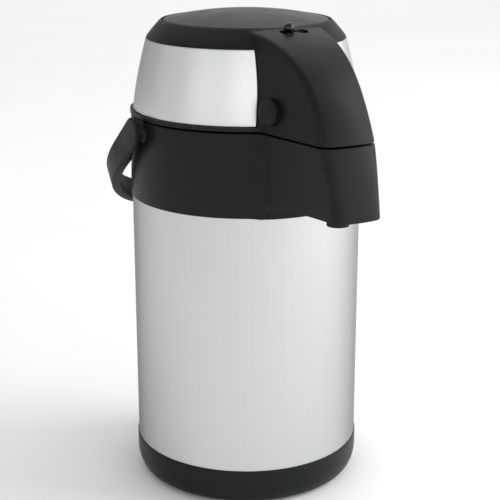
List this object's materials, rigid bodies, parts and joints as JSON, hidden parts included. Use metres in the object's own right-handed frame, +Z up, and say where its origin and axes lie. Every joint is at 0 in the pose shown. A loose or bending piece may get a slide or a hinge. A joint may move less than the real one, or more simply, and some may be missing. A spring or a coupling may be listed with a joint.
{
  "type": "pump pot",
  "caption": "Insulated pump pot: steel-bodied vacuum flask with a hinged lid, a domed pump button, a fixed pouring spout and a swinging carry handle.",
  "frame": {"origin": "on the pot's axis, on the surface that it stands on", "axes": "+Z up along the pot's axis; -Y the way the spout points; the handle's pivots lie on -X and +X"},
  "size_m": [0.1748, 0.2487, 0.3315],
  "materials": {
    "abs_black": "semi-gloss moulded ABS",
    "pp_black": "matt moulded polypropylene",
    "grip_black": "fine satin",
    "steel_body": "vertically brushed stainless steel",
    "steel_band": "satin stainless steel",
    "steel_liner": "polished stainless steel",
    "steel_pin": "bright turned",
    "steel_screw": "zinc plated",
    "spring_wire": "drawn spring wire",
    "silicone_clear": "translucent silicone",
    "silicone_orange": "matt silicone",
    "rubber_foot": "matt rubber",
    "bellows_pe": "soft blown polyethylene",
    "pipe_pp": "natural polypropylene",
    "knob_black": "high gloss"
  },
  "bodies": {
    "pot": {"base_ring": "abs_black", "base_plug": "pp_black", "foot_ring": "rubber_foot", "flask_support": "rubber_foot", "outer_shell": "steel_body", "liner_outer": "steel_liner", "liner_inner": "steel_liner", "neck_gasket": "silicone_clear", "mouth_ring": "pp_black", "mouth_screws": "steel_screw", "collar": "abs_black", "nose_cover": "abs_black", "cover_screws": "steel_screw", "spout_conduit": "pipe_pp", "outlet_nozzle": "pp_black", "dip_tube": "pipe_pp", "tube_seal": "silicone_orange", "hinge_pin": "steel_pin", "pivot_pins": "steel_pin"},
    "lid": {"lid_shell": "abs_black", "lid_band": "steel_band", "lid_base": "pp_black", "lid_seal": "silicone_clear", "air_valve": "silicone_orange", "lid_screws": "steel_screw", "bellows": "bellows_pe", "return_spring": "spring_wire"},
    "push_button": {"push_button": "abs_black", "pusher_plate": "pp_black", "intake_valve": "silicone_orange"},
    "lock_slider": {"lock_knob": "knob_black", "lock_bar": "pp_black"},
    "latch_left": {"latch_button_left": "abs_black"},
    "latch_right": {"latch_button_right": "abs_black"},
    "handle": {"handle_bail": "abs_black", "handle_grip": "grip_black"}
  },
  "joints": [
    {"name": "lid_hinge", "type": "hinge", "parent": "pot", "child": "lid", "pos_m": [0, 0.085, 0.262], "axis": [-1, 0, 0], "range_deg": [0, 90]},
    {"name": "press", "type": "slide", "parent": "lid", "child": "push_button", "axis": [0, 0, -1], "range_m": [0, 0.022], "stiffness_N_per_m": 300, "deforming": ["bellows", "return_spring"]},
    {"name": "lock_slide", "type": "slide", "parent": "lid", "child": "lock_slider", "axis": [-1, 0, 0], "range_m": [-0.0092, 0]},
    {"name": "latch_left_press", "type": "slide", "parent": "lid", "child": "latch_left", "axis": [0.9785, 0.1761, -0.1076], "range_m": [0, 0.003], "stiffness_N_per_m": 400},
    {"name": "latch_right_press", "type": "slide", "parent": "lid", "child": "latch_right", "axis": [-0.9785, 0.1761, -0.1076], "range_m": [0, 0.003], "stiffness_N_per_m": 400},
    {"name": "handle_swing", "type": "hinge", "parent": "pot", "child": "handle", "pos_m": [0, -0.002, 0.2547], "axis": [1, 0, 0], "range_deg": [0, 130]}
  ]
}
